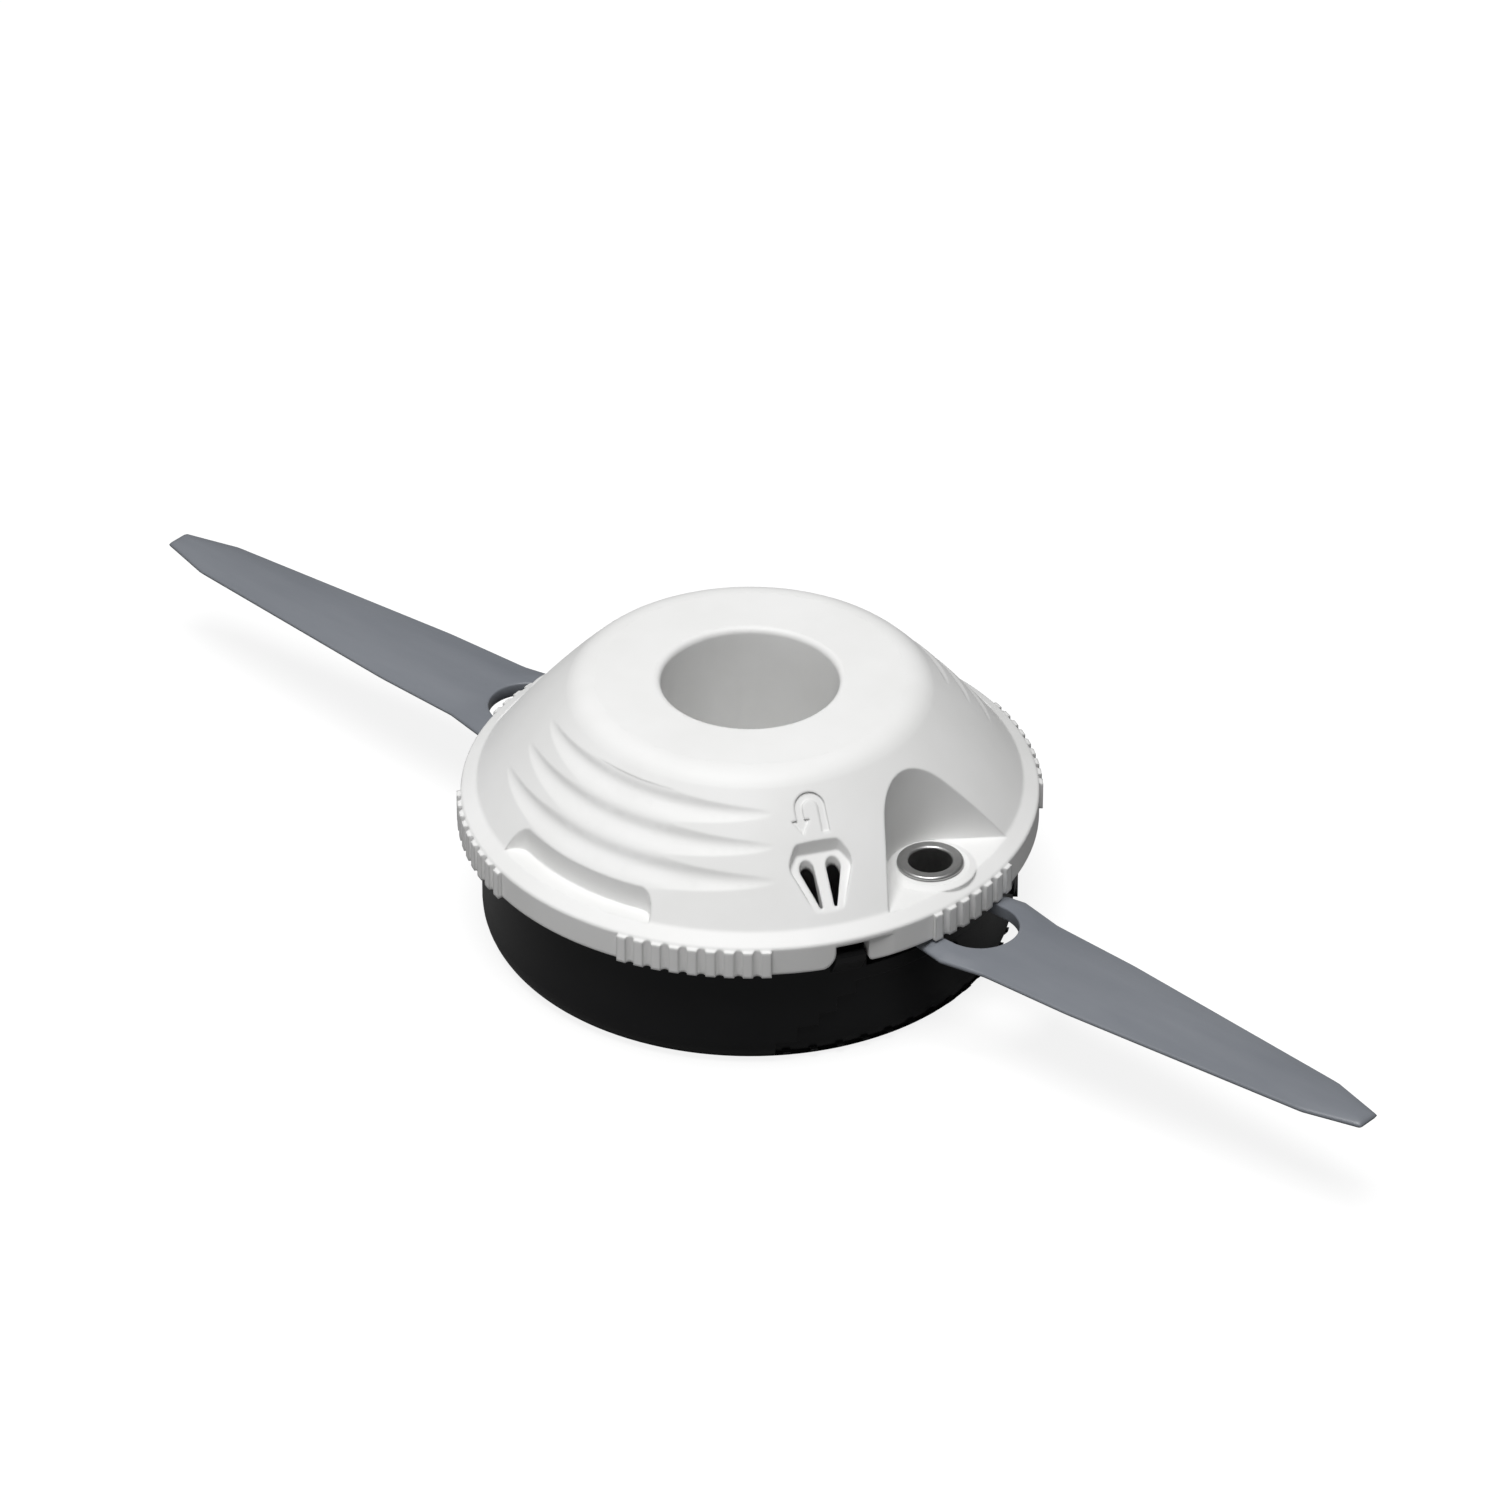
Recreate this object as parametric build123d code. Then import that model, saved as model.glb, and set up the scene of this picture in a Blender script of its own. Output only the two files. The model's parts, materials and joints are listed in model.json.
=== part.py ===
"""Trimmer head with two swinging plastic blades.

A white upper housing with a fluted rim snaps over a black lower housing.  Each blade turns on a
hollow boss of the lower housing, and a flanged steel sleeve lines that boss.  The frame: Z is the
spin axis and points up, z = 0 is the glide face, and the blade pivots lie on the X axis.
"""
import os
from math import atan2, cos, degrees, pi, radians, sin, sqrt, tan

from build123d import *

# Clearances: between parts, round a turning part, and round a seated part
GAP = 0.3
RUN = 0.05
SEAT = 0.02

# Lower housing, and how far inside its wall the blade pivots lie
BASE_R = 46.9
PIVOT_INSET = 5.7
BASE_WALL = 2.2
BASE_FLOOR = 2.6
EDGE_WIDTH = 3.1
EDGE_HEIGHT = 5.0
DISH_R = 30.0
DISH_DEPTH = 0.9
ACCESS_R = 12.0
SILL_HEIGHT = 18.05
SKIRT_LAP = 2.8
PILLAR_WALL = 2.65
SLEEVE_SINK = 3.0
LINE_WELL_DEPTH = 5.0
LINE_EXIT_R = 1.9

# Stepped relief under a blade: half angle and height of each step, and the lugs on its lower ledge
RELIEF_DEPTH = 0.8
RELIEF_LEDGE = 0.8
RELIEF_ANGLES = (43.4, 38.8, 34.2, 30.2, 26.0)
RELIEF_HEIGHTS = (4.6, 7.6, 9.9, 12.9, 15.4)
LUG_AZIMUTH = -1.8
LUG_PITCH = 6.0
LUG_COUNT = 14
LUG_ANGLE = 1.7
LUG_HEIGHT = 1.8

# Snap lugs, placed by the angle from the edge of a blade window
SNAP_OFFSET = 4.7
SNAP_WIDTH = 5.6
SNAP_REACH = 2.5
SNAP_LAP = 1.9
SNAP_NOSE = 0.63

# Line sleeves and the bosses that they line
SLEEVE_BORE_R = 3.78
SLEEVE_WALL = 0.82
SLEEVE_FLANGE_WIDTH = 1.2
SLEEVE_FLANGE = 0.9
BOSS_WALL = 2.18
BOSS_COLLAR_WIDTH = 2.7
BOSS_CONE_WIDTH = 1.2
BOSS_CONE_HEIGHT = 0.5

# Blades: lengths along the blade from the pivot, half widths across it, and the flat share of each
BLADE_THICKNESS = 2.6
BLADE_EDGE = 0.7
BLADE_TIP_THICKNESS = 1.7
BLADE_REACH = 96.7
EYE_WALL = 2.6
ROOT_BEVEL = 2.3
SLOT_TRAVEL = 11.2
SLOT_SPARE = 0.8
SHOULDER_LENGTH = 8.6
WAIST_LENGTH = 17.4
TIP_LENGTH = 10.5
SHOULDER_HALF = 11.6
NECK_HALF = 9.9
WAIST_HALF = 9.25
CORNER_HALF = 5.15
TIP_HALF = 2.2
SHOULDER_FLAT_RATIO = 0.8
NECK_FLAT_RATIO = 0.55
BODY_FLAT_RATIO = 0.45
SWING_BACK = 42.0
SWING_AHEAD = 85.0
SWING_SPARE = 1.5

# Upper housing
RIM_WALL = 3.2
RIM_HEIGHT = 5.45
RIM_EDGE = 0.5
BAND_WIDTH = 2.8
BAND_RISE = 1.7
CREASE_FILLET = 1.0
DOME_RISE = 20.85
DOME_RUN = 20.5
SHOULDER_R = 6.5
SHOULDER_TURN = 45.9
SHELL = 2.3
WELL_R = 15.5
WELL_LIP = 1.1
WELL_FLOOR_Z = 14.0
HUB_WALL = 2.4
HUB_FLOOR = 8.0

# Rim flutes, and the middle azimuth and number of flutes of each patch
RIB_HEIGHT = 0.7
RIB_PITCH = 3.6
RIB_BEVEL = 0.4
RIB_CROWN = 0.15
RIB_ROOT = 1.2
FLUTE_R = 0.75
RIB_PATCH_AZIMUTHS = (1.5, -60.0, -122.3)
RIB_PATCH_COUNTS = (6, 8, 8)

# Recesses of the dome, set in from the crease at its foot
RECESS_WALL = 2.2
FLOOR_SINK = 0.2
EYE_BACK = 6.9
EYE_ROUND = 11.3
PANEL_AZIMUTH = -90.6
PANEL_HALF = 20.5
PANEL_INSET = 3.35
PANEL_CORNER = 3.0
WAVE_AZIMUTH = -86.0
WAVE_FADE = 42.0
WAVE_DEPTH = 0.95
WAVE_CREST_CUT = 0.12
WAVE_TOP_INSET = 12.8
WAVE_STEP = 3.8
WAVE_COUNT = 3
WAVE_POINT_COUNT = 8

# Line-lock recess and its slots
LOCK_AZIMUTH = -31.6
LOCK_TOP_INSET = 9.2
LOCK_TOP_HALF = 3.9
LOCK_WIDE_INSET = 7.0
LOCK_WIDE_HALF = 5.8
LOCK_FOOT_INSET = 1.3
LOCK_FOOT_HALF = 2.4
LOCK_CORNER = 1.4
LOCK_SLOPE = 42.5
LOCK_SLOT_INSET = 7.2
LOCK_SLOT_SPREAD = 2.35
LOCK_SLOT_ROUND = 1.3
LOCK_SLOT_LENGTH = 4.9
LOCK_SLOT_TIP_SPREAD = 1.3
LOCK_SLOT_TIP_ROUND = 0.3

# Turn arrow sunk into the flank above the line lock
ARROW_INSET = 13.0
ARROW_DEPTH = 0.3
ARROW_R = 2.71
ARROW_STROKE = 1.36
ARROW_SHORT_LEG = 1.9
ARROW_LONG_LEG = 4.5
ARROW_HEAD_HALF = 1.6

# Notch in the rim over a snap lug, and the ramp that fades out beside it
NOTCH_LIP = 1.0
NOTCH_SWEEP = 3.3
NOTCH_CORNER = 0.8
RAMP_DEPTH = 0.5
RAMP_ANGLE = 5.3

# Drive insert
THREAD_MINOR_R = 4.459
THREAD_LEAD_IN = 0.7
INSERT_R = 8.0
INSERT_FLANGE_R = 10.5
INSERT_FLANGE = 1.5
INSERT_SINK = 0.2

# Radii that follow from the fits
pivot_r = BASE_R - PIVOT_INSET
sleeve_r = SLEEVE_BORE_R + SLEEVE_WALL
boss_r = sleeve_r + SEAT + BOSS_WALL
boss_cone_r = boss_r + BOSS_CONE_WIDTH
blade_hole_r = boss_r + RUN
blade_root_r = blade_hole_r + EYE_WALL
skirt_r = BASE_R + GAP
rim_r = skirt_r + RIM_WALL
crease_r = rim_r - BAND_WIDTH
crown_r = crease_r - DOME_RUN
hub_r = WELL_R + HUB_WALL

# Heights that follow from the stack of parts
sleeve_bottom = SILL_HEIGHT - SLEEVE_SINK
blade_bottom = SILL_HEIGHT + GAP
blade_middle = blade_bottom + BLADE_THICKNESS / 2
rim_bottom = blade_bottom + BLADE_THICKNESS + GAP
rim_top = rim_bottom + RIM_HEIGHT
crease_z = rim_top + BAND_RISE
crown_z = crease_z + DOME_RISE
recess_floor = crease_z - FLOOR_SINK
sleeve_seat = recess_floor + BOSS_CONE_HEIGHT
wall_top = rim_bottom + SKIRT_LAP
insert_seat = WELL_FLOOR_Z - HUB_FLOOR

# Limits that lie clear of the whole part, and the plain stretch where turned faces start and end
above = 2 * crown_z
beyond = 2 * rim_r
plain_azimuth = -LOCK_AZIMUTH


def turned(part, azimuth):
    """Turn a part about the spin axis."""
    return Rot(0, 0, azimuth) * part


def both_sides(part):
    """The part and its twin half a turn round."""
    return part + turned(part, 180)


def post(radius, low, high, reach=0):
    """An upright cylinder between two heights, on the spin axis or some way out along X."""
    return Pos(reach, 0, (low + high) / 2) * Cylinder(radius, high - low)


def outline(*curves):
    """A face bounded by curves that meet end to end."""
    return make_face(Curve() + list(curves))


def spun(face, start=0, sweep=360):
    """Turn a face drawn as (radius, height) about the spin axis."""
    return turned(revolve(Plane.XZ * face, Axis.Z, sweep), start)


def ring_sector(inner, outer, low, high, start, sweep):
    """A piece of a square-edged ring."""
    section = Pos((inner + outer) / 2, (low + high) / 2) * Rectangle(outer - inner, high - low)
    return spun(section, start, sweep)


def radial_plane(azimuth):
    """A plane that faces outwards: its x runs round the axis and its y runs up."""
    a = radians(azimuth)
    return Plane(origin=(0, 0, 0), x_dir=(-sin(a), cos(a), 0), z_dir=(cos(a), sin(a), 0))


def window_angle(swing):
    """How far round the wall a blade reaches when it is swung by that many degrees."""
    a = radians(swing)
    start_x = pivot_r - SHOULDER_HALF * sin(a)
    start_y = SHOULDER_HALF * cos(a)
    half = start_x * cos(a) + start_y * sin(a)
    rest = start_x**2 + start_y**2 - BASE_R**2
    run = sqrt(half**2 - rest) - half
    return degrees(atan2(start_y + run * sin(a), start_x + run * cos(a))) + SWING_SPARE


def snap_azimuth():
    """Where the snap lug stands, just behind a blade window."""
    return -window_angle(SWING_BACK) - SNAP_OFFSET


def base_section(inset=0):
    """The lower housing's outer form, filled, or the same form drawn in by an inset."""
    wall_r = BASE_R - inset
    glide_r = wall_r - EDGE_WIDTH
    floor = Polyline((wall_r, EDGE_HEIGHT), (wall_r, wall_top), (0, wall_top), (0, 0), (glide_r, 0))
    edge = TangentArc((wall_r, EDGE_HEIGHT), (glide_r, 0), tangent=(0, -1))
    return outline(floor, edge)


def relief():
    """The stepped hollow under a blade, with lugs left standing on the ledge below it."""
    hollow = Part()
    for half, height in zip(RELIEF_ANGLES, RELIEF_HEIGHTS):
        hollow += ring_sector(DISH_R, beyond, RELIEF_LEDGE, height, -half, 2 * half)
    hollow -= spun(base_section(RELIEF_DEPTH))
    lug = ring_sector(DISH_R, beyond, -BASE_FLOOR, LUG_HEIGHT, -LUG_ANGLE / 2, LUG_ANGLE)
    for i in range(LUG_COUNT):
        hollow -= turned(lug, LUG_AZIMUTH + (i - (LUG_COUNT - 1) / 2) * LUG_PITCH)
    return hollow


def snap_lug():
    """The lug that the rim of the upper housing snaps over."""
    foot_r = BASE_R - BASE_WALL / 2
    nose_r = BASE_R + SNAP_REACH
    top = rim_bottom + SNAP_LAP
    profile = Polyline(
        (foot_r, SILL_HEIGHT),
        (BASE_R, SILL_HEIGHT),
        (nose_r - GAP, rim_bottom),
        (nose_r, top - SNAP_NOSE),
        (nose_r - SNAP_NOSE, top),
        (foot_r, top - GAP),
        (foot_r, SILL_HEIGHT),
    )
    plate = extrude(Plane.XZ * make_face(profile), SNAP_WIDTH / 2, both=True)
    return turned(plate, snap_azimuth())


def line_way():
    """The way out for a cutting line: down from the sleeve, then straight out through the wall."""
    low = sleeve_bottom - LINE_WELL_DEPTH
    mouth = Plane(origin=(pivot_r, 0, low + LINE_WELL_DEPTH / 2), z_dir=(1, 0, 0))
    return post(SLEEVE_BORE_R, low, above, pivot_r) + extrude(mouth * Circle(LINE_EXIT_R), beyond)


def lower_housing():
    """The black cup: wall, floor, pillars with the pivot bosses, blade windows and snap lugs."""
    solid = spun(base_section())
    hollow = post(BASE_R - BASE_WALL, BASE_FLOOR, above)
    pillar = post(boss_r + PILLAR_WALL, 0, SILL_HEIGHT, pivot_r) & solid
    boss = post(boss_r, SILL_HEIGHT, rim_bottom - SEAT, pivot_r)
    sleeve_way = post(sleeve_r + SEAT, sleeve_bottom, above, pivot_r) + line_way()
    back = window_angle(SWING_BACK)
    ahead = window_angle(SWING_AHEAD)
    window = ring_sector(hub_r, beyond, SILL_HEIGHT, above, -back, back + ahead)
    body = solid - hollow + both_sides(pillar)
    for tool in (window, relief()):
        body -= both_sides(tool)
    body += both_sides(boss)
    body -= both_sides(sleeve_way)
    body -= post(DISH_R, -DISH_DEPTH, DISH_DEPTH)
    body -= post(ACCESS_R, -BASE_FLOOR, 2 * BASE_FLOOR)
    return body + both_sides(snap_lug())


def lens(reach, half, flat, edge, thickness):
    """One cross-section of a blade: flat in the middle and bevelled to its two edges."""
    plane = Plane(origin=(pivot_r + reach, 0, blade_middle), x_dir=(0, 1, 0), z_dir=(1, 0, 0))
    side = ((half, -edge / 2), (half, edge / 2), (half * flat, thickness / 2))
    other = tuple((-y, z) for y, z in reversed(side))
    bottom = ((-half * flat, -thickness / 2), (half * flat, -thickness / 2))
    return plane * Polygon(*side, *other[:2], (-half, -edge / 2), *bottom, align=None)


def blade():
    """A flat root with a long hole, a shoulder, and a body that thins to both edges and the tip."""
    shoulder_reach = SLOT_TRAVEL + SLOT_SPARE
    neck_reach = shoulder_reach + SHOULDER_LENGTH
    middle_reach = shoulder_reach + SHOULDER_LENGTH / 2
    middle_half = (SHOULDER_HALF + NECK_HALF) / 2
    corner_thickness = (BLADE_THICKNESS + BLADE_TIP_THICKNESS) / 2
    root = [
        lens(0, blade_root_r, 1 - ROOT_BEVEL / blade_root_r, BLADE_EDGE, BLADE_THICKNESS),
        lens(shoulder_reach, SHOULDER_HALF, 1 - ROOT_BEVEL / SHOULDER_HALF, BLADE_EDGE, BLADE_THICKNESS),
    ]
    shoulder = [
        root[1],
        lens(middle_reach, middle_half, SHOULDER_FLAT_RATIO, BLADE_EDGE, BLADE_THICKNESS),
        lens(neck_reach, NECK_HALF, NECK_FLAT_RATIO, BLADE_EDGE, BLADE_THICKNESS),
    ]
    waist_reach = neck_reach + WAIST_LENGTH
    corner_reach = BLADE_REACH - TIP_LENGTH
    body = [
        shoulder[2],
        lens(waist_reach, WAIST_HALF, BODY_FLAT_RATIO, BLADE_EDGE, BLADE_THICKNESS),
        lens(corner_reach, CORNER_HALF, BODY_FLAT_RATIO, BLADE_EDGE, corner_thickness),
        lens(BLADE_REACH, TIP_HALF, BODY_FLAT_RATIO, BLADE_EDGE, BLADE_TIP_THICKNESS),
    ]
    flat_r = blade_root_r - ROOT_BEVEL
    half_root = Polygon(
        (0, -BLADE_THICKNESS / 2),
        (flat_r, -BLADE_THICKNESS / 2),
        (blade_root_r, -BLADE_EDGE / 2),
        (blade_root_r, BLADE_EDGE / 2),
        (flat_r, BLADE_THICKNESS / 2),
        (0, BLADE_THICKNESS / 2),
        align=None,
    )
    plate = Pos(pivot_r, 0, blade_middle) * spun(half_root)
    for sections in (root, shoulder, body):
        plate += loft(sections, ruled=True)
    hole = Pos(pivot_r + SLOT_TRAVEL / 2, 0) * SlotCenterToCenter(SLOT_TRAVEL, 2 * blade_hole_r)
    return plate - extrude(hole, above)


def dome_curves():
    """The dome from its flat crown to the crease at its foot: a tight shoulder, then a long flank."""
    turn = radians(SHOULDER_TURN)
    knee = (crown_r + SHOULDER_R * sin(turn), crown_z - SHOULDER_R * (1 - cos(turn)))
    shoulder = TangentArc((crown_r, crown_z), knee, tangent=(1, 0))
    flank = TangentArc(knee, (crease_r, crease_z), tangent=(cos(turn), -sin(turn)))
    return shoulder, flank


def flank_height(radius):
    """The height of the dome's flank at a radius, on the flank's own circle."""
    flank = dome_curves()[1]
    centre = flank.arc_center
    return centre.Y + sqrt(flank.radius**2 - (radius - centre.X) ** 2)


def turned_form():
    """The turned part of the upper housing, still filled between hub and rim."""
    shoulder, flank = dome_curves()
    lip = TangentArc((WELL_R, crown_z - WELL_LIP), (WELL_R + WELL_LIP, crown_z), tangent=(0, 1))
    crown = Line(lip @ 1, shoulder @ 0)
    rest = Polyline(
        flank @ 1,
        (rim_r, rim_top),
        (rim_r, rim_bottom),
        (hub_r, rim_bottom),
        (hub_r, BASE_FLOOR),
        (WELL_R, BASE_FLOOR),
        (WELL_R, insert_seat),
        (INSERT_R + SEAT, insert_seat),
        (INSERT_R + SEAT, WELL_FLOOR_Z),
        (WELL_R, WELL_FLOOR_Z),
        lip @ 0,
    )
    body = spun(outline(lip, crown, shoulder, flank, rest), plain_azimuth)
    for radius, round_r in ((rim_r, RIM_EDGE), (crease_r, CREASE_FILLET)):
        circles = body.edges().filter_by(GeomType.CIRCLE)
        body = fillet(circles.filter_by(lambda e: abs(e.radius - radius) < SEAT), round_r)
    return body


def under_dome():
    """The hollow between hub and rim, with room left for the floors and walls of the recesses."""
    shoulder, flank = dome_curves()
    turn = radians(SHOULDER_TURN)
    foot_lean = atan2(-(flank % 1).Y, (flank % 1).X)
    inner_knee = (shoulder @ 1) - Vector(sin(turn), cos(turn)) * SHELL
    inner_foot = (flank @ 1) - Vector(sin(foot_lean), cos(foot_lean)) * SHELL
    section = Polyline(
        (hub_r, SILL_HEIGHT),
        (skirt_r, SILL_HEIGHT),
        (skirt_r, rim_top - SHELL),
        inner_foot,
        inner_knee,
        (crown_r, crown_z - SHELL),
        (hub_r, crown_z - SHELL),
        (hub_r, SILL_HEIGHT),
    )
    hollow = spun(make_face(section), plain_azimuth)
    for plan in (eye_plan(RECESS_WALL), panel_plan(RECESS_WALL)):
        hollow -= both_sides(recess(plan, recess_floor - RECESS_WALL))
    return hollow


def rib_patch(azimuth, count):
    """A raised stretch of the rim, cut into ribs by a number of upright round-bottomed flutes."""
    rib_r = rim_r + RIB_HEIGHT
    root_r = rim_r - RIB_ROOT
    rib_angle = RIB_PITCH - degrees(2 * FLUTE_R / rib_r)
    sweep = count * RIB_PITCH + rib_angle
    section = Polyline(
        (root_r, rim_bottom),
        (rib_r, rim_bottom),
        (rib_r, rim_top - RIB_BEVEL),
        (root_r, rim_top + RIB_CROWN),
        (root_r, rim_bottom),
    )
    patch = spun(make_face(section), azimuth - sweep / 2, sweep)
    flute = Pos(rib_r, 0, rim_top) * Cylinder(FLUTE_R, 4 * RIM_HEIGHT)
    first = azimuth - (count - 1) / 2 * RIB_PITCH
    return patch - [turned(flute, first + i * RIB_PITCH) for i in range(count)]


def eye_plan(grow=0):
    """The eyelet recess from above: a round back that opens outwards between walls at 45 degrees."""
    round_r = EYE_ROUND + grow
    centre = pivot_r - EYE_BACK + EYE_ROUND
    tangent_x = centre - round_r * cos(pi / 4)
    tangent_y = round_r * sin(pi / 4)
    reach = tangent_y + beyond - tangent_x
    back = ThreePointArc((tangent_x, -tangent_y), (centre - round_r, 0), (tangent_x, tangent_y))
    sides = Polyline(
        (tangent_x, tangent_y), (beyond, reach), (beyond, -reach), (tangent_x, -tangent_y)
    )
    return outline(back, sides)


def panel_plan(grow=0):
    """The plain panel recess from above: a curved back with rounded corners, open to the rim."""
    back_r = crease_r - PANEL_INSET
    inner = back_r - grow
    half = radians(PANEL_HALF) + grow / back_r
    edge_y = beyond * tan(half)
    plan = Polygon((0, 0), (beyond, -edge_y), (beyond, edge_y), align=None) - Circle(inner)
    corners = plan.vertices().filter_by(lambda v: abs(sqrt(v.X**2 + v.Y**2) - inner) < SEAT)
    return Rot(0, 0, PANEL_AZIMUTH) * fillet(corners, PANEL_CORNER)


def recess(plan, low):
    """A plan carried straight up from a height, clear of the crown."""
    return extrude(Pos(0, 0, low) * plan, above - low, dir=(0, 0, 1))


def wave_cut():
    """Soft grooves across the flank: a wavy tool, turned about an axis set back so that they fade."""
    set_back = WAVE_DEPTH / (1 - cos(radians(WAVE_FADE)))
    first_r = crease_r - WAVE_TOP_INSET - WAVE_STEP / 2
    points = []
    for i in range(WAVE_POINT_COUNT * WAVE_COUNT + 1):
        radius = first_r + i * WAVE_STEP / WAVE_POINT_COUNT
        swell = (1 - cos(2 * pi * i / WAVE_POINT_COUNT)) / 2
        dip = WAVE_CREST_CUT + (WAVE_DEPTH - WAVE_CREST_CUT) * swell
        points.append((radius + set_back - dip, flank_height(radius)))
    top = (points[0][0] + WAVE_STEP, points[0][1] + WAVE_DEPTH)
    outer_r = beyond + set_back
    rest = Polyline(points[-1], (outer_r, points[-1][1]), (outer_r, top[1]), top, points[0])
    a = radians(WAVE_AZIMUTH)
    ring = spun(outline(Spline(*points), rest), WAVE_AZIMUTH + 180)
    return Pos(-set_back * cos(a), -set_back * sin(a)) * ring


def lock_recess():
    """The line-lock recess with its sloping floor, and the two tapering slots through that floor."""
    top_r = crease_r - LOCK_TOP_INSET
    wide_r = crease_r - LOCK_WIDE_INSET
    foot_r = crease_r - LOCK_FOOT_INSET
    side = ((top_r, -LOCK_TOP_HALF), (wide_r, -LOCK_WIDE_HALF), (foot_r, -LOCK_FOOT_HALF))
    other = tuple((x, -y) for x, y in reversed(side))
    plan = Polygon(*side, *other, align=None)
    plan = fillet(plan.vertices(), LOCK_CORNER)
    foot_z = flank_height(foot_r)
    rise = (foot_r - crown_r) * tan(radians(LOCK_SLOPE))
    over_floor = Polyline(
        (foot_r, foot_z), (crown_r, foot_z + rise), (crown_r, above), (foot_r, above), (foot_r, foot_z)
    )
    tool = extrude(Plane.XZ * make_face(over_floor), 2 * LOCK_WIDE_HALF, both=True)
    tool &= recess(plan, rim_bottom)
    slot_r = crease_r - LOCK_SLOT_INSET
    for y in (-1, 1):
        head = Pos(slot_r, y * LOCK_SLOT_SPREAD) * Circle(LOCK_SLOT_ROUND)
        tip = Pos(slot_r + LOCK_SLOT_LENGTH, y * LOCK_SLOT_TIP_SPREAD) * Circle(LOCK_SLOT_TIP_ROUND)
        tool += recess(make_hull(head.edges() + tip.edges()), rim_bottom)
    return turned(tool, LOCK_AZIMUTH)


def arrow_plan():
    """A turn arrow: an arch with a long plain leg, and a head on its short leg."""
    leg_x = ARROW_R - ARROW_STROKE / 2
    below = Pos(0, -ARROW_R) * Rectangle(2 * ARROW_R, 2 * ARROW_R)
    arch = Circle(ARROW_R) - Circle(ARROW_R - ARROW_STROKE) - below
    short_leg = Pos(-leg_x, -ARROW_SHORT_LEG / 2) * Rectangle(ARROW_STROKE, ARROW_SHORT_LEG)
    long_leg = Pos(leg_x, -ARROW_LONG_LEG / 2) * Rectangle(ARROW_STROKE, ARROW_LONG_LEG)
    head = Polygon(
        (-leg_x - ARROW_HEAD_HALF, -ARROW_SHORT_LEG),
        (-leg_x, -ARROW_LONG_LEG),
        (-leg_x + ARROW_HEAD_HALF, -ARROW_SHORT_LEG),
        align=None,
    )
    return arch + short_leg + long_leg + head


def arrow_cut():
    """The turn arrow carried into the flank, as far as a copy of the dome that lies a little lower."""
    shoulder, flank = dome_curves()
    place_r = crease_r - ARROW_INSET
    place_z = flank_height(place_r)
    lean_x = (place_r - flank.arc_center.X) / flank.radius
    lean_z = (place_z - flank.arc_center.Y) / flank.radius
    plane = Plane(origin=(place_r, 0, place_z), x_dir=(0, 1, 0), z_dir=(lean_x, 0, lean_z))
    rest = Polyline(flank @ 1, (0, crease_z), (0, crown_z), shoulder @ 0)
    lower_dome = Pos(0, 0, -ARROW_DEPTH / lean_z) * spun(outline(shoulder, flank, rest), plain_azimuth)
    tool = extrude(plane * arrow_plan(), ARROW_STROKE, both=True) - lower_dome
    return turned(tool, LOCK_AZIMUTH)


def notch():
    """The notch in the rim over a snap lug, swept out on one side and with a ramp on the other."""
    half = SNAP_WIDTH / 2 + GAP
    top = rim_top - NOTCH_LIP
    face = Pos(0, (top + SILL_HEIGHT) / 2) * Rectangle(2 * half, top - SILL_HEIGHT)
    for side, round_r in ((-1, NOTCH_SWEEP), (1, NOTCH_CORNER)):
        middle = (side * (half + round_r / 2), rim_bottom + round_r / 2)
        centre = (side * (half + round_r), rim_bottom + round_r)
        face += Pos(*middle) * Rectangle(round_r, round_r) - Pos(*centre) * Circle(round_r)
    slab = extrude(radial_plane(snap_azimuth()) * face, beyond)
    return slab - post(BASE_R, 0, above) + ramp(degrees(half / rim_r), top)


def ramp(start, top):
    """The flat that starts sunk into the rim beside the notch and fades out round the rim."""
    a = radians(start)
    b = radians(start + RAMP_ANGLE)
    sunk_r = rim_r - RAMP_DEPTH
    plan = Polygon(
        (sunk_r * cos(a), sunk_r * sin(a)),
        (beyond * cos(a), beyond * sin(a)),
        (beyond * cos(b), beyond * sin(b)),
        (rim_r * cos(b), rim_r * sin(b)),
        align=None,
    )
    return turned(extrude(Pos(0, 0, SILL_HEIGHT) * plan, top - SILL_HEIGHT, dir=(0, 0, 1)), snap_azimuth())


def sleeve_seating():
    """The collar that holds a blade down on its boss, and the seat of the sleeve above it."""
    collar_top = recess_floor - RECESS_WALL / 2
    collar = post(boss_r + BOSS_COLLAR_WIDTH, rim_bottom, collar_top, pivot_r)
    collar &= post(skirt_r + GAP, rim_bottom, above)
    foot = post(boss_cone_r, recess_floor - BAND_RISE, recess_floor, pivot_r)
    cone_middle = recess_floor + BOSS_CONE_HEIGHT / 2
    cone = Pos(pivot_r, 0, cone_middle) * Cone(boss_cone_r, boss_r, BOSS_CONE_HEIGHT)
    return collar + foot + cone


def upper_housing():
    """The white cover: dome, rim, recesses, sleeve seats and hub."""
    body = turned_form()
    for azimuth, count in zip(RIB_PATCH_AZIMUTHS, RIB_PATCH_COUNTS):
        body += both_sides(rib_patch(azimuth, count))
    eye = recess(eye_plan(), recess_floor)
    panel = recess(panel_plan(), recess_floor)
    for tool in (wave_cut(), eye, panel, lock_recess(), arrow_cut(), notch()):
        body -= both_sides(tool)
    body -= under_dome()
    body += both_sides(sleeve_seating())
    return body - both_sides(post(sleeve_r + SEAT, 0, above, pivot_r))


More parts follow.
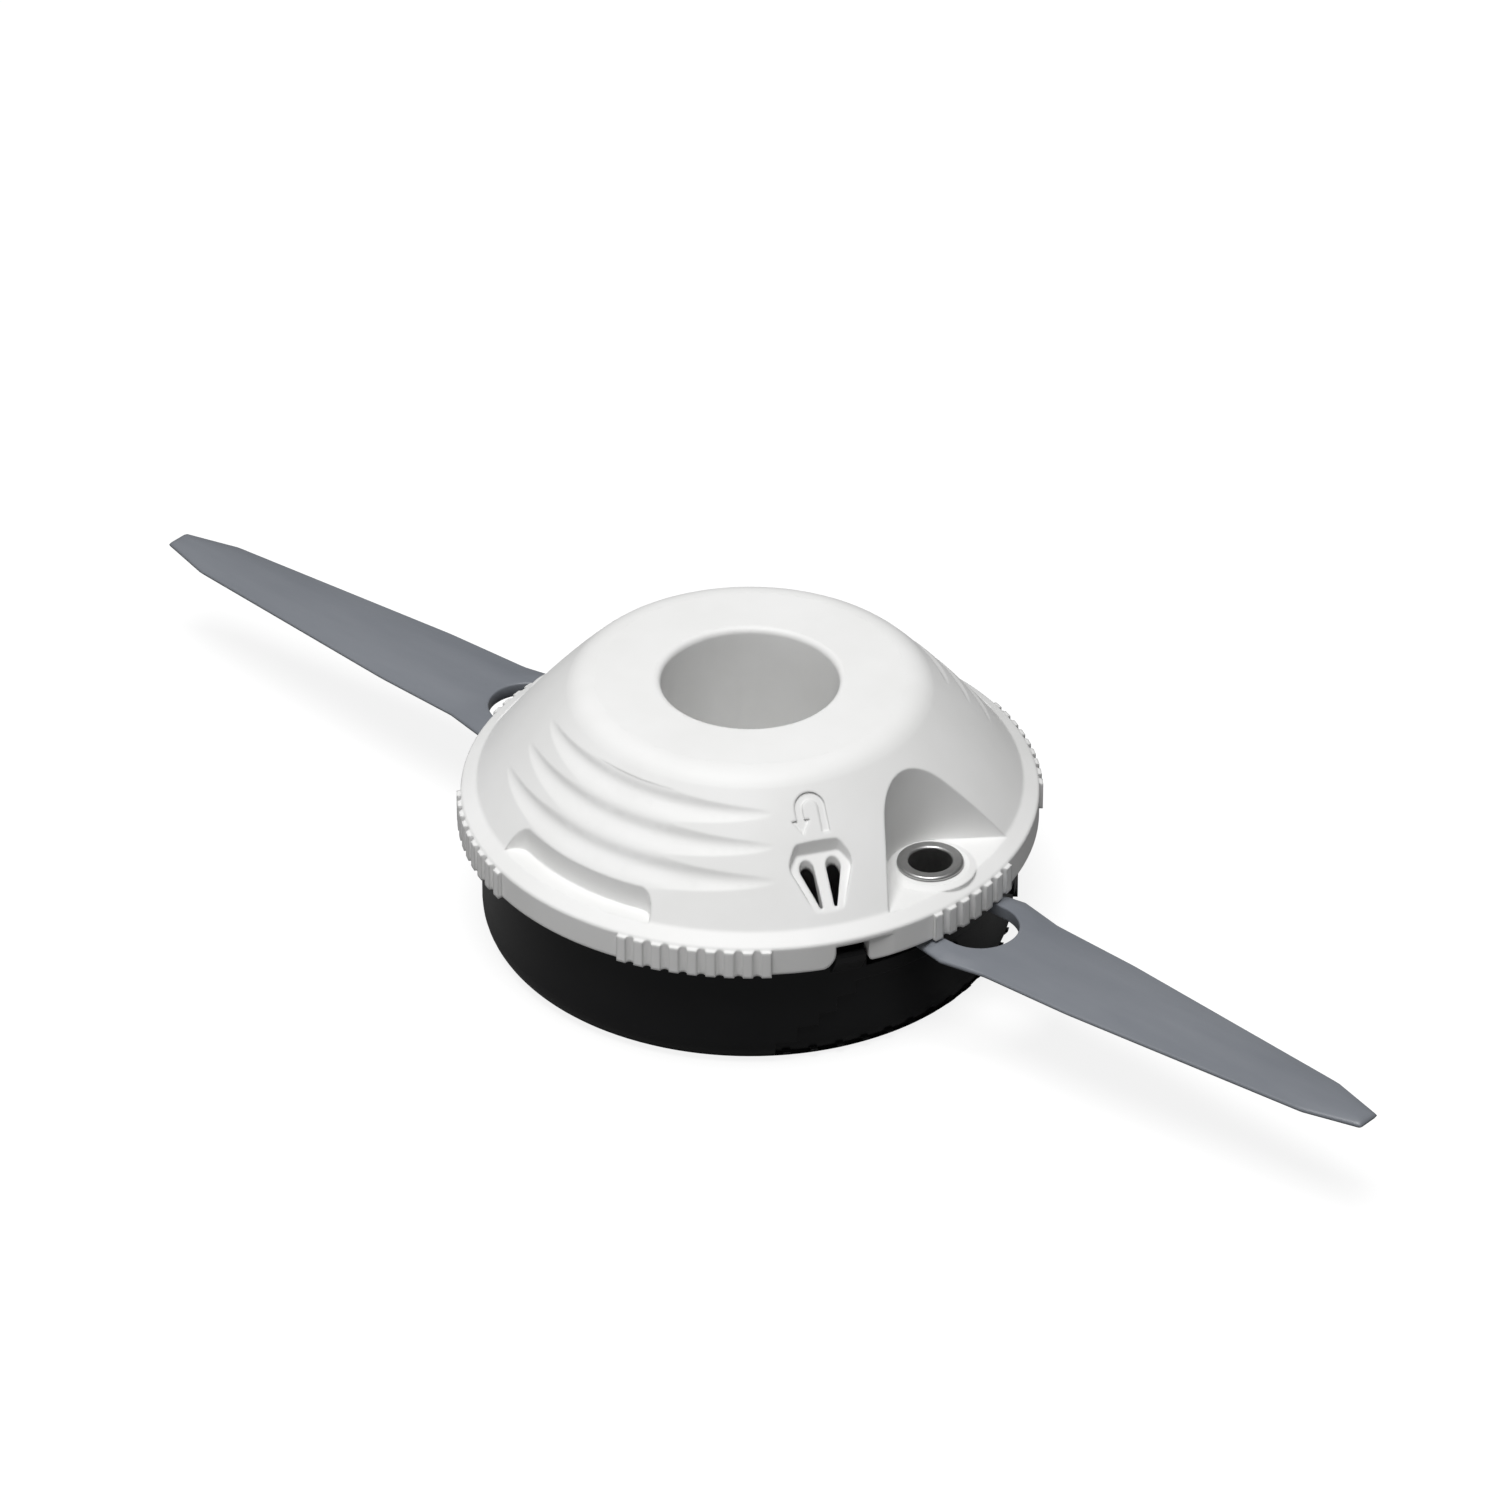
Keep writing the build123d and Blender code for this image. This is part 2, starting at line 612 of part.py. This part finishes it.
def line_sleeve():
    """The flanged steel sleeve that lines a boss."""
    half_round = SLEEVE_FLANGE / 2
    top = sleeve_seat + SLEEVE_FLANGE
    flange_r = sleeve_r + SLEEVE_FLANGE_WIDTH
    tube = Polyline(
        (flange_r - half_round, sleeve_seat),
        (sleeve_r, sleeve_seat),
        (sleeve_r, sleeve_bottom),
        (SLEEVE_BORE_R, sleeve_bottom),
        (SLEEVE_BORE_R, top - half_round),
    )
    lip = TangentArc(tube @ 1, (SLEEVE_BORE_R + half_round, top), tangent=(0, 1))
    face = Line(lip @ 1, (flange_r - half_round, top))
    edge = ThreePointArc(face @ 1, (flange_r, top - half_round), tube @ 0)
    return Pos(pivot_r, 0, 0) * spun(outline(tube, lip, face, edge))


def drive_insert():
    """The threaded steel insert in the hub floor, held by its flange from below."""
    low = insert_seat - INSERT_FLANGE
    high = WELL_FLOOR_Z - INSERT_SINK
    lead_r = THREAD_MINOR_R + THREAD_LEAD_IN
    section = Polyline(
        (THREAD_MINOR_R, low + THREAD_LEAD_IN),
        (lead_r, low),
        (INSERT_FLANGE_R, low),
        (INSERT_FLANGE_R, insert_seat),
        (INSERT_R, insert_seat),
        (INSERT_R, high),
        (lead_r, high),
        (THREAD_MINOR_R, high - THREAD_LEAD_IN),
        (THREAD_MINOR_R, low + THREAD_LEAD_IN),
    )
    return spun(make_face(section))


def main():
    """Write one file for each piece."""
    first_blade = blade()
    first_sleeve = line_sleeve()
    pieces = {
        "upper_housing": upper_housing(),
        "lower_housing": lower_housing(),
        "drive_insert": drive_insert(),
        "line_sleeve_1": first_sleeve,
        "line_sleeve_2": turned(first_sleeve, 180),
        "blade_1": first_blade,
        "blade_2": turned(first_blade, 180),
    }
    os.makedirs("parts", exist_ok=True)
    for name, piece in pieces.items():
        export_step(piece, f"parts/{name}.step")


main()
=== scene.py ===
# %% [markdown]
# A trimmer head with two swinging plastic blades.
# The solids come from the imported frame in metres, with Z up along the spin axis and the blades
# along X.  Their sizes are fixed, so this lesson adds finishes and finer surfaces in the same places.

# %% Load the frame
import json
import math

import bpy
import numpy as np
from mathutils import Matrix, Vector


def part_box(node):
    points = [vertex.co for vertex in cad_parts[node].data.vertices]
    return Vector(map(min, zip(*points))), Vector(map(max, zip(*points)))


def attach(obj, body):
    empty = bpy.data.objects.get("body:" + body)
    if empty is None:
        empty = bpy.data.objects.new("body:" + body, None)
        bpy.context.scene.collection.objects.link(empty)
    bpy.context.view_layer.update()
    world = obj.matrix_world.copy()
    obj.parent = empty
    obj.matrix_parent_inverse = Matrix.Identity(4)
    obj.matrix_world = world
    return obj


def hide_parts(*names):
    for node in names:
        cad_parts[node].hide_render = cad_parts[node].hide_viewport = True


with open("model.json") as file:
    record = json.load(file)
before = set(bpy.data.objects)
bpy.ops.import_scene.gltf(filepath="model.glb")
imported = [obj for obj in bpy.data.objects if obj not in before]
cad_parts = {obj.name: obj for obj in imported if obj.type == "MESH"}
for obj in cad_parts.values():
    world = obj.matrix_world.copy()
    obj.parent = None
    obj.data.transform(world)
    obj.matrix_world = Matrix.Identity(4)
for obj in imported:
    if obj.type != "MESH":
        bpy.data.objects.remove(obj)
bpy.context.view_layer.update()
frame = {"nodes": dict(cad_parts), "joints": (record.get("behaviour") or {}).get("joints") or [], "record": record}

MM = 0.001
nodes = frame["nodes"]
mounts = {mount["name"]: mount for mount in frame["record"]["mounts"]}
print("frame:", ", ".join(sorted(nodes)))

# %% [markdown]
# The camera stands where the photograph was taken from.  A long lens far away keeps the circles of
# the rim close to true ellipses, as they are in the picture.  It aims at a point on the spin axis.

# %% Camera
CAMERA_AZIMUTH = math.radians(41.2)
CAMERA_ELEVATION = math.radians(33.556)
CAMERA_DISTANCE = 1.93782
CAMERA_LENS = 267.7
SENSOR_WIDTH = 36.0
AIM_POINT = np.array([0.0, 0.0, 0.034142])


def toward(azimuth, elevation):
    """A unit vector: azimuth turns from -Y towards +X, and elevation lifts it off the floor."""
    flat = math.cos(elevation)
    return np.array([math.sin(azimuth) * flat, -math.cos(azimuth) * flat, math.sin(elevation)])


def stand(obj, distance, azimuth, elevation):
    """Stand an object on a sphere round the aim point, facing that point."""
    direction = toward(azimuth, elevation)
    obj.location = AIM_POINT + distance * direction
    obj.rotation_euler = Vector(-direction).to_track_quat("-Z", "Y").to_euler()
    bpy.context.scene.collection.objects.link(obj)


camera = bpy.data.objects.new("camera", bpy.data.cameras.new("camera"))
camera.data.lens = CAMERA_LENS
camera.data.sensor_width = SENSOR_WIDTH
stand(camera, CAMERA_DISTANCE, CAMERA_AZIMUTH, CAMERA_ELEVATION)
bpy.context.scene.camera = camera
bpy.context.scene.view_settings.view_transform = "Standard"
print("camera at", [round(x, 3) for x in camera.location])

# %% [markdown]
# A surface here is a grid of points worked out from two parameters.  One helper turns such a grid
# into a mesh, with quads between neighbours, and joins the last row and column to the first.

# %% Grid helper
SHARP_FROM = math.radians(40.0)


def grid_piece(name, points, body, node):
    """A mesh from points[row, column], closed both ways, that stands for a node and rides its body."""
    rows, columns = points.shape[:2]
    index = np.arange(rows * columns).reshape(rows, columns)
    below = np.roll(index, -1, axis=0)
    quads = np.stack([index, below, np.roll(below, -1, axis=1), np.roll(index, -1, axis=1)], axis=-1)
    mesh = bpy.data.meshes.new(name)
    mesh.from_pydata(points.reshape(-1, 3).tolist(), [], quads.reshape(-1, 4).tolist())
    mesh.polygons.foreach_set("use_smooth", np.ones(len(mesh.polygons), bool))
    mesh.set_sharp_from_angle(angle=SHARP_FROM)
    piece = bpy.data.objects.new(name, mesh)
    bpy.context.scene.collection.objects.link(piece)
    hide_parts(node)
    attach(piece, body)
    print(name, "quads:", len(mesh.polygons))
    return piece


# %% [markdown]
# A blade is one nylon moulding: a flat eye with a long hole, and a body that thins to both edges.
# Straight lines run from the hole's edge to the outline, so the grid follows both.  The height above
# the middle plane grows with the distance in from the outline, which gives the soft lens section that
# catches the light along the front of the eye.  Towards the tip the whole blade gets thinner.

# %% Blades
HOLE_R = 6.85 * MM
HOLE_TRAVEL = 11.2 * MM
HOLE_ROUND = 0.3 * MM
BLADE_EDGE = 0.7 * MM
BLADE_REACHES = np.array([0.0, 12.0, 16.3, 20.6, 38.0, 86.2, 96.7]) * MM
BLADE_HALVES = np.array([9.45, 11.6, 10.75, 9.9, 9.25, 5.15, 2.2]) * MM
BLADE_BEVELS = np.array([2.3, 2.3, 2.5, 4.45, 5.1, 2.85, 1.2]) * MM
BLADE_THICKNESSES = np.array([2.6, 2.6, 2.6, 2.6, 2.6, 2.15, 1.7]) * MM
EYE_STEPS = 64
SIDE_STEPS = 90
END_STEPS = 9
ACROSS_STEPS = 40
FAN_CLOSE = 0.85
FAN_POWER = 0.7
BEVEL_EASE = 4


def blade_outline():
    """Points round the blade from the pivot: the round eye, one side, the blunt end, the other side."""
    eye = np.linspace(0.5 * np.pi, 1.5 * np.pi, EYE_STEPS, endpoint=False)
    x = np.unique(np.concatenate([np.linspace(0, BLADE_REACHES[-1], SIDE_STEPS), BLADE_REACHES]))
    half = np.interp(x, BLADE_REACHES, BLADE_HALVES)
    end = np.linspace(-half[-1], half[-1], END_STEPS)[1:-1]
    return np.concatenate([
        BLADE_HALVES[0] * np.stack([np.cos(eye), np.sin(eye)], axis=1),
        np.stack([x, -half], axis=1),
        np.stack([np.full_like(end, x[-1]), end], axis=1),
        np.stack([x, half], axis=1)[:0:-1],
    ])


def hole_outline(outer):
    """For each outline point a point of the long hole: the same angle at the eye, the same reach along
    the straight part, and past it an angle that closes like a fan towards the middle of the blunt end."""
    x, y = outer.T
    angle = np.arctan2(y, x)
    share = np.clip((x - HOLE_TRAVEL) / (BLADE_REACHES[-1] - HOLE_TRAVEL), 0, 1)
    width = np.abs(y) / np.interp(x, BLADE_REACHES, BLADE_HALVES)
    far_angle = np.sign(y) * 0.5 * np.pi * (1 - FAN_CLOSE * share**FAN_POWER) * width
    eye = HOLE_R * np.stack([np.cos(angle), np.sin(angle)], axis=1)
    straight = np.stack([x, np.sign(y) * HOLE_R], axis=1)
    far = HOLE_R * np.stack([np.cos(far_angle), np.sin(far_angle)], axis=1) + [HOLE_TRAVEL, 0]
    return np.where(x[:, None] <= 0, eye, np.where(x[:, None] <= HOLE_TRAVEL, straight, far))


def quarter_round(distance, radius):
    """How far a rounded edge has risen at a distance in from it, from nothing up to its radius."""
    rest = 1 - np.clip(distance / radius, 0, 1)
    return radius * np.sqrt(1 - rest**2)


def blade_height(x, y):
    """Half the blade's thickness at a place: a rounded edge, then a bevel that eases into the flat."""
    half = np.interp(x, BLADE_REACHES, BLADE_HALVES)
    inset = np.where(x < 0, BLADE_HALVES[0] - np.hypot(x, y), half - np.abs(y))
    inset = np.clip(np.minimum(inset, BLADE_REACHES[-1] - x), 0, None)
    rise = inset / np.interp(x, BLADE_REACHES, BLADE_BEVELS)
    eased = rise / (1 + rise**BEVEL_EASE) ** (1 / BEVEL_EASE)
    top = np.interp(x, BLADE_REACHES, BLADE_THICKNESSES) / 2
    height = quarter_round(inset, BLADE_EDGE / 2) + (top - BLADE_EDGE / 2) * eased
    from_hole = np.hypot(x - np.clip(x, 0, HOLE_TRAVEL), y) - HOLE_R
    return height - HOLE_ROUND + quarter_round(from_hole, HOLE_ROUND)


def blade_points():
    """The whole skin: over the top from hole to outline, and back underneath, for each line."""
    outer = blade_outline()[:, None, :]
    inner = hole_outline(outer[:, 0, :])[:, None, :]
    share = (0.5 - 0.5 * np.cos(np.linspace(0, np.pi, ACROSS_STEPS)))[None, :, None]
    flat = inner + share * (outer - inner)
    height = blade_height(flat[..., 0], flat[..., 1])[..., None]
    top = np.concatenate([flat, height], axis=-1)
    under = np.concatenate([flat, -height], axis=-1)
    return np.concatenate([top, under[:, -2::-1]], axis=1)


blades = []
for joint in frame["joints"]:
    pivot = np.array(joint["pos_m"])
    outward = np.sign(pivot[0])
    skin = blade_points() * [outward, outward, 1.0] + pivot
    blades.append(grid_piece(joint["child"] + "_skin", skin, joint["child"], joint["child"]))

# %% [markdown]
# The insert in the hub floor is a turned steel bush with a left-hand M10 x 1 thread for the spindle.
# Its section is spun round the axis.  On the bore the radius also rises and falls with the height
# and the angle together, which draws the thread as one helix.

# %% Drive insert
INSERT_R = 8.0 * MM
FLANGE_HEIGHT = 1.5 * MM
LEAD_IN = 0.7 * MM
THREAD_PITCH = 1.0 * MM
THREAD_DEPTH = 0.541 * MM
THREAD_STEPS = 96
TURN_STEPS = 96


def insert_points():
    """The spun section: down the threaded bore, across the flange below, and up the outside."""
    low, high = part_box("drive_insert")
    minor = mounts["drive_thread"]["dims"]["r_mm"] * MM
    bore_z = np.linspace(high[2] - LEAD_IN, low[2] + LEAD_IN, THREAD_STEPS)
    seat_z = low[2] + FLANGE_HEIGHT
    corners = [
        (minor + LEAD_IN, low[2]), (high[0], low[2]), (high[0], seat_z),
        (INSERT_R, seat_z), (INSERT_R, high[2]), (minor + LEAD_IN, high[2]),
    ]
    radius = np.concatenate([np.full(THREAD_STEPS, minor), [r for r, z in corners]])[None, :]
    z = np.concatenate([bore_z, [z for r, z in corners]])[None, :]
    turn = np.linspace(0, 1, TURN_STEPS, endpoint=False)[:, None]
    phase = (z / THREAD_PITCH + turn) % 1.0
    on_bore = np.arange(z.shape[1]) < THREAD_STEPS
    radius = radius + on_bore * THREAD_DEPTH * (1 - np.abs(2 * phase - 1))
    angle = 2 * np.pi * turn
    return np.stack([radius * np.cos(angle), radius * np.sin(angle), z + 0 * angle], axis=-1)


insert = grid_piece("drive_insert_thread", insert_points(), "head", "drive_insert")

# %% [markdown]
# Each material is a small tree of nodes.  Short helpers add a node and set its values, or make a
# group with named sockets, so that an effect is built once and placed in several materials.

# %% Node helpers


def add(tree, kind, **values):
    """Add a node to a tree; each value names an input socket, or a property of the node."""
    node = tree.nodes.new("ShaderNode" + kind)
    for name, value in values.items():
        socket = node.inputs.get(name.replace("_", " "))
        if socket is None:
            setattr(node, name, value)
        else:
            socket.default_value = value
    return node


def new_group(name, inputs, outputs):
    """A node group with float inputs {name: default} and float outputs."""
    group = bpy.data.node_groups.new(name, "ShaderNodeTree")
    for socket_name, default in inputs.items():
        socket = group.interface.new_socket(socket_name, in_out="INPUT", socket_type="NodeSocketFloat")
        socket.default_value = default
    for socket_name in outputs:
        group.interface.new_socket(socket_name, in_out="OUTPUT", socket_type="NodeSocketFloat")
    return group, group.nodes.new("NodeGroupInput"), group.nodes.new("NodeGroupOutput")


def place_group(tree, group, values):
    """Put a group into a material and set its inputs."""
    node = tree.nodes.new("ShaderNodeGroup")
    node.node_tree = group
    for name, value in values.items():
        node.inputs[name].default_value = value
    return node


def new_material(name, shader_values):
    """A material with a Principled shader; each value sets one of its sockets."""
    material = bpy.data.materials.new(name)
    material.use_nodes = True
    shader = material.node_tree.nodes["Principled BSDF"]
    for socket, value in shader_values.items():
        shader.inputs[socket].default_value = value
    return material, material.node_tree, shader


def dress(obj, material):
    """Give an object this one material."""
    obj.data.materials.clear()
    obj.data.materials.append(material)


print("node helpers ready")

# %% [markdown]
# Moulded plastic copies the fine spark-eroded grain of its steel mould, and shows faint cloudy
# patches where the melt flowed.  Both are noise, at two sizes, read from object coordinates so that
# they stay put on the piece.  Along a blade the melt ran lengthwise, so its clouds are drawn out.

# %% Moulded grain group
MOTTLE_FROM = 0.1
MOTTLE_TO = 0.45

grain_group, grain_in, grain_out = new_group(
    "moulded grain",
    {
        "Grain Per Metre": 3500.0,
        "Clouds Per Metre": 60.0,
        "Clouds Along X": 1.0,
        "Smooth": 0.4,
        "Rough": 0.5,
    },
    ("Height", "Clouds", "Roughness"),
)
link = grain_group.links.new
place = add(grain_group, "TexCoord")
fine = add(grain_group, "TexNoise", Detail=3.0, Roughness=0.6)
clouds = add(grain_group, "TexNoise", Detail=4.0, Roughness=0.55)
drawn = add(grain_group, "CombineXYZ", Y=1.0, Z=1.0)
stretched = add(grain_group, "VectorMath", operation="MULTIPLY")
mottle = add(grain_group, "Math", operation="MULTIPLY")
spread = add(grain_group, "MapRange")
spread.inputs["From Min"].default_value = MOTTLE_FROM
spread.inputs["From Max"].default_value = MOTTLE_TO
link(place.outputs["Object"], fine.inputs["Vector"])
link(grain_in.outputs["Clouds Along X"], drawn.inputs["X"])
link(place.outputs["Object"], stretched.inputs[0])
link(drawn.outputs["Vector"], stretched.inputs[1])
link(stretched.outputs["Vector"], clouds.inputs["Vector"])
link(grain_in.outputs["Grain Per Metre"], fine.inputs["Scale"])
link(grain_in.outputs["Clouds Per Metre"], clouds.inputs["Scale"])
link(fine.outputs["Fac"], mottle.inputs[0])
link(clouds.outputs["Fac"], mottle.inputs[1])
link(mottle.outputs["Value"], spread.inputs["Value"])
link(grain_in.outputs["Smooth"], spread.inputs["To Min"])
link(grain_in.outputs["Rough"], spread.inputs["To Max"])
link(fine.outputs["Fac"], grain_out.inputs["Height"])
link(clouds.outputs["Fac"], grain_out.inputs["Clouds"])
link(spread.outputs["Result"], grain_out.inputs["Roughness"])
print("group:", grain_group.name)

# %% [markdown]
# A mould can't make a knife-sharp corner.  The Bevel node bends the shading normal close to every
# edge, as a small radius would, and the bump of the grain is laid over that.  The colour drifts
# between two close tones with the clouds.

# %% Moulded finishes
TINT_FROM = 0.3
TINT_TO = 0.7
EDGE_SAMPLES = 6
GRAIN_STRENGTH = 0.6


def moulded_finish(name, tones, grain, edge_radius, grain_depth, shader_values):
    """Plastic whose colour drifts between two tones, with grain and softened edges."""
    material, tree, shader = new_material(name, shader_values)
    surface = place_group(tree, grain_group, grain)
    tint = add(tree, "ValToRGB")
    tint.color_ramp.elements[0].position = TINT_FROM
    tint.color_ramp.elements[0].color = (*tones[0], 1.0)
    tint.color_ramp.elements[1].position = TINT_TO
    tint.color_ramp.elements[1].color = (*tones[1], 1.0)
    edge = add(tree, "Bevel", samples=EDGE_SAMPLES, Radius=edge_radius)
    bump = add(tree, "Bump", Strength=GRAIN_STRENGTH, Distance=grain_depth)
    tree.links.new(surface.outputs["Clouds"], tint.inputs["Fac"])
    tree.links.new(tint.outputs["Color"], shader.inputs["Base Color"])
    tree.links.new(surface.outputs["Roughness"], shader.inputs["Roughness"])
    tree.links.new(surface.outputs["Height"], bump.inputs["Height"])
    tree.links.new(edge.outputs["Normal"], bump.inputs["Normal"])
    tree.links.new(bump.outputs["Normal"], shader.inputs["Normal"])
    return material


white_plastic = moulded_finish(
    "white_plastic",
    ((0.80, 0.80, 0.79), (0.85, 0.85, 0.845)),
    {"Grain Per Metre": 4200.0, "Clouds Per Metre": 45.0, "Smooth": 0.42, "Rough": 0.58},
    edge_radius=0.7 * MM,
    grain_depth=0.02 * MM,
    shader_values={"Specular IOR Level": 0.35},
)
black_plastic = moulded_finish(
    "black_plastic",
    ((0.0045, 0.0047, 0.0053), (0.008, 0.0082, 0.009)),
    {"Grain Per Metre": 3600.0, "Clouds Per Metre": 55.0, "Smooth": 0.28, "Rough": 0.42},
    edge_radius=0.4 * MM,
    grain_depth=0.015 * MM,
    shader_values={"Specular IOR Level": 0.28},
)
blade_plastic = moulded_finish(
    "blade_plastic",
    ((0.175, 0.188, 0.212), (0.21, 0.223, 0.247)),
    {
        "Grain Per Metre": 3000.0,
        "Clouds Per Metre": 110.0,
        "Clouds Along X": 0.2,
        "Smooth": 0.34,
        "Rough": 0.48,
    },
    edge_radius=0.4 * MM,
    grain_depth=0.02 * MM,
    shader_values={"Specular IOR Level": 0.5},
)
dress(nodes["upper_housing"], white_plastic)
dress(nodes["lower_housing"], black_plastic)
for blade in blades:
    dress(blade, blade_plastic)
print("moulded finishes: white_plastic, black_plastic, blade_plastic")

# %% [markdown]
# The sleeves and the insert are turned on a lathe, which leaves very fine rings round their axis.
# The rings are noise that depends only on the distance from that axis.  Taking the absolute value
# of x folds both sleeves onto one, so a single material serves the pair.

# %% Turned steel group
RINGS_PER_METRE = 9000.0
WEAR_PER_METRE = 500.0

ring_group, ring_in, ring_out = new_group("turned rings", {"Axis X": 0.0}, ("Height", "Wear"))
link = ring_group.links.new
place = add(ring_group, "TexCoord")
fold = add(ring_group, "VectorMath", operation="ABSOLUTE")
axis = add(ring_group, "CombineXYZ")
offset = add(ring_group, "VectorMath", operation="SUBTRACT")
level = add(ring_group, "VectorMath", operation="MULTIPLY")
level.inputs[1].default_value = (1.0, 1.0, 0.0)
distance = add(ring_group, "VectorMath", operation="LENGTH")
rings = add(ring_group, "TexNoise", noise_dimensions="1D", Scale=RINGS_PER_METRE, Detail=2.0)
wear = add(ring_group, "TexNoise", Scale=WEAR_PER_METRE, Detail=3.0)
link(place.outputs["Object"], fold.inputs[0])
link(ring_in.outputs["Axis X"], axis.inputs["X"])
link(fold.outputs["Vector"], offset.inputs[0])
link(axis.outputs["Vector"], offset.inputs[1])
link(offset.outputs["Vector"], level.inputs[0])
link(level.outputs["Vector"], distance.inputs[0])
link(distance.outputs["Value"], rings.inputs["W"])
link(place.outputs["Object"], wear.inputs["Vector"])
link(rings.outputs["Fac"], ring_out.inputs["Height"])
link(wear.outputs["Fac"], ring_out.inputs["Wear"])
print("group:", ring_group.name)

# %% [markdown]
# Both steels share the rings.  Wear makes some spots smoother and a little brighter than others.

# %% Turned finishes
RING_STRENGTH = 0.5
RING_DEPTH = 0.01 * MM


def turned_finish(name, axis_x, tones, smooth, rough):
    """Steel with fine rings about the upright axes at plus and minus axis_x, and uneven wear."""
    material, tree, shader = new_material(name, {"Metallic": 1.0})
    surface = place_group(tree, ring_group, {"Axis X": axis_x})
    tint = add(tree, "ValToRGB")
    tint.color_ramp.elements[0].color = (*tones[0], 1.0)
    tint.color_ramp.elements[1].color = (*tones[1], 1.0)
    spread = add(tree, "MapRange")
    spread.inputs["To Min"].default_value = rough
    spread.inputs["To Max"].default_value = smooth
    bump = add(tree, "Bump", Strength=RING_STRENGTH, Distance=RING_DEPTH)
    tree.links.new(surface.outputs["Wear"], tint.inputs["Fac"])
    tree.links.new(surface.outputs["Wear"], spread.inputs["Value"])
    tree.links.new(tint.outputs["Color"], shader.inputs["Base Color"])
    tree.links.new(spread.outputs["Result"], shader.inputs["Roughness"])
    tree.links.new(surface.outputs["Height"], bump.inputs["Height"])
    tree.links.new(bump.outputs["Normal"], shader.inputs["Normal"])
    return material


sleeve_x = mounts["line_sleeve_1"]["pos_m"][0]
sleeve_steel = turned_finish("sleeve_steel", sleeve_x, ((0.4, 0.4, 0.4), (0.52, 0.52, 0.515)), 0.3, 0.46)
plated_steel = turned_finish("plated_steel", 0.0, ((0.44, 0.44, 0.43), (0.56, 0.56, 0.56)), 0.28, 0.44)
dress(nodes["line_sleeve_1"], sleeve_steel)
dress(nodes["line_sleeve_2"], sleeve_steel)
dress(insert, plated_steel)
print("turned finishes: sleeve_steel, plated_steel")

# %% [markdown]
# The floor is plain and pale.  To the camera it also glows, which gives the white ground of a
# catalogue picture, while its own paint keeps the soft shadow.  Other rays see only the paint, so
# the upright walls don't get too much light from below.

# %% Floor
FLOOR_REACH = 6.0
FLOOR_DROP = 0.05 * MM
FLOOR_PAINT = (0.2, 0.2, 0.2, 1.0)
FLOOR_GLOW = 0.86

corners = np.array([[-1, -1, 0], [1, -1, 0], [1, 1, 0], [-1, 1, 0]]) * FLOOR_REACH - [0, 0, FLOOR_DROP]
floor_mesh = bpy.data.meshes.new("floor")
floor_mesh.from_pydata(corners.tolist(), [], [(0, 1, 2, 3)])
floor = bpy.data.objects.new("floor", floor_mesh)
bpy.context.scene.collection.objects.link(floor)

floor_material, tree, shader = new_material("pale_floor", {"Base Color": FLOOR_PAINT, "Roughness": 1.0})
shader.inputs["Specular IOR Level"].default_value = 0.0
shader.inputs["Emission Color"].default_value = (1.0, 1.0, 1.0, 1.0)
rays = add(tree, "LightPath")
glow = add(tree, "Math", operation="MULTIPLY")
glow.inputs[1].default_value = FLOOR_GLOW
tree.links.new(rays.outputs["Is Camera Ray"], glow.inputs[0])
tree.links.new(glow.outputs["Value"], shader.inputs["Emission Strength"])
floor_mesh.materials.append(floor_material)
print("floor reaches", FLOOR_REACH, "m")

# %% [markdown]
# A wide soft lamp high above the camera's left shoulder makes the top and the near flank bright and
# leaves the upright walls grey.  A narrow one low on the left draws a soft gleam down the black cup.

# %% Lights
SKY_LIGHT = 0.17

world = bpy.data.worlds.new("studio")
bpy.context.scene.world = world
world.use_nodes = True
sky = world.node_tree
background = sky.nodes["Background"]
background.inputs["Color"].default_value = (1.0, 1.0, 1.0, 1.0)
rays = add(sky, "LightPath")
strength = add(sky, "MapRange")
strength.inputs["To Min"].default_value = SKY_LIGHT
strength.inputs["To Max"].default_value = 1.0
sky.links.new(rays.outputs["Is Camera Ray"], strength.inputs["Value"])
sky.links.new(strength.outputs["Result"], background.inputs["Strength"])


def soft_lamp(name, azimuth, elevation, distance, size, power):
    """A square lamp that faces the part, with its angles in degrees."""
    lamp = bpy.data.objects.new(name, bpy.data.lights.new(name, "AREA"))
    lamp.data.size = size
    lamp.data.energy = power
    stand(lamp, distance, math.radians(azimuth), math.radians(elevation))


soft_lamp("key", azimuth=22.0, elevation=75.0, distance=1.6, size=0.9, power=25.5)
soft_lamp("left_gleam", azimuth=-35.0, elevation=14.0, distance=1.6, size=0.5, power=2.0)
print("lamps: key, left_gleam")
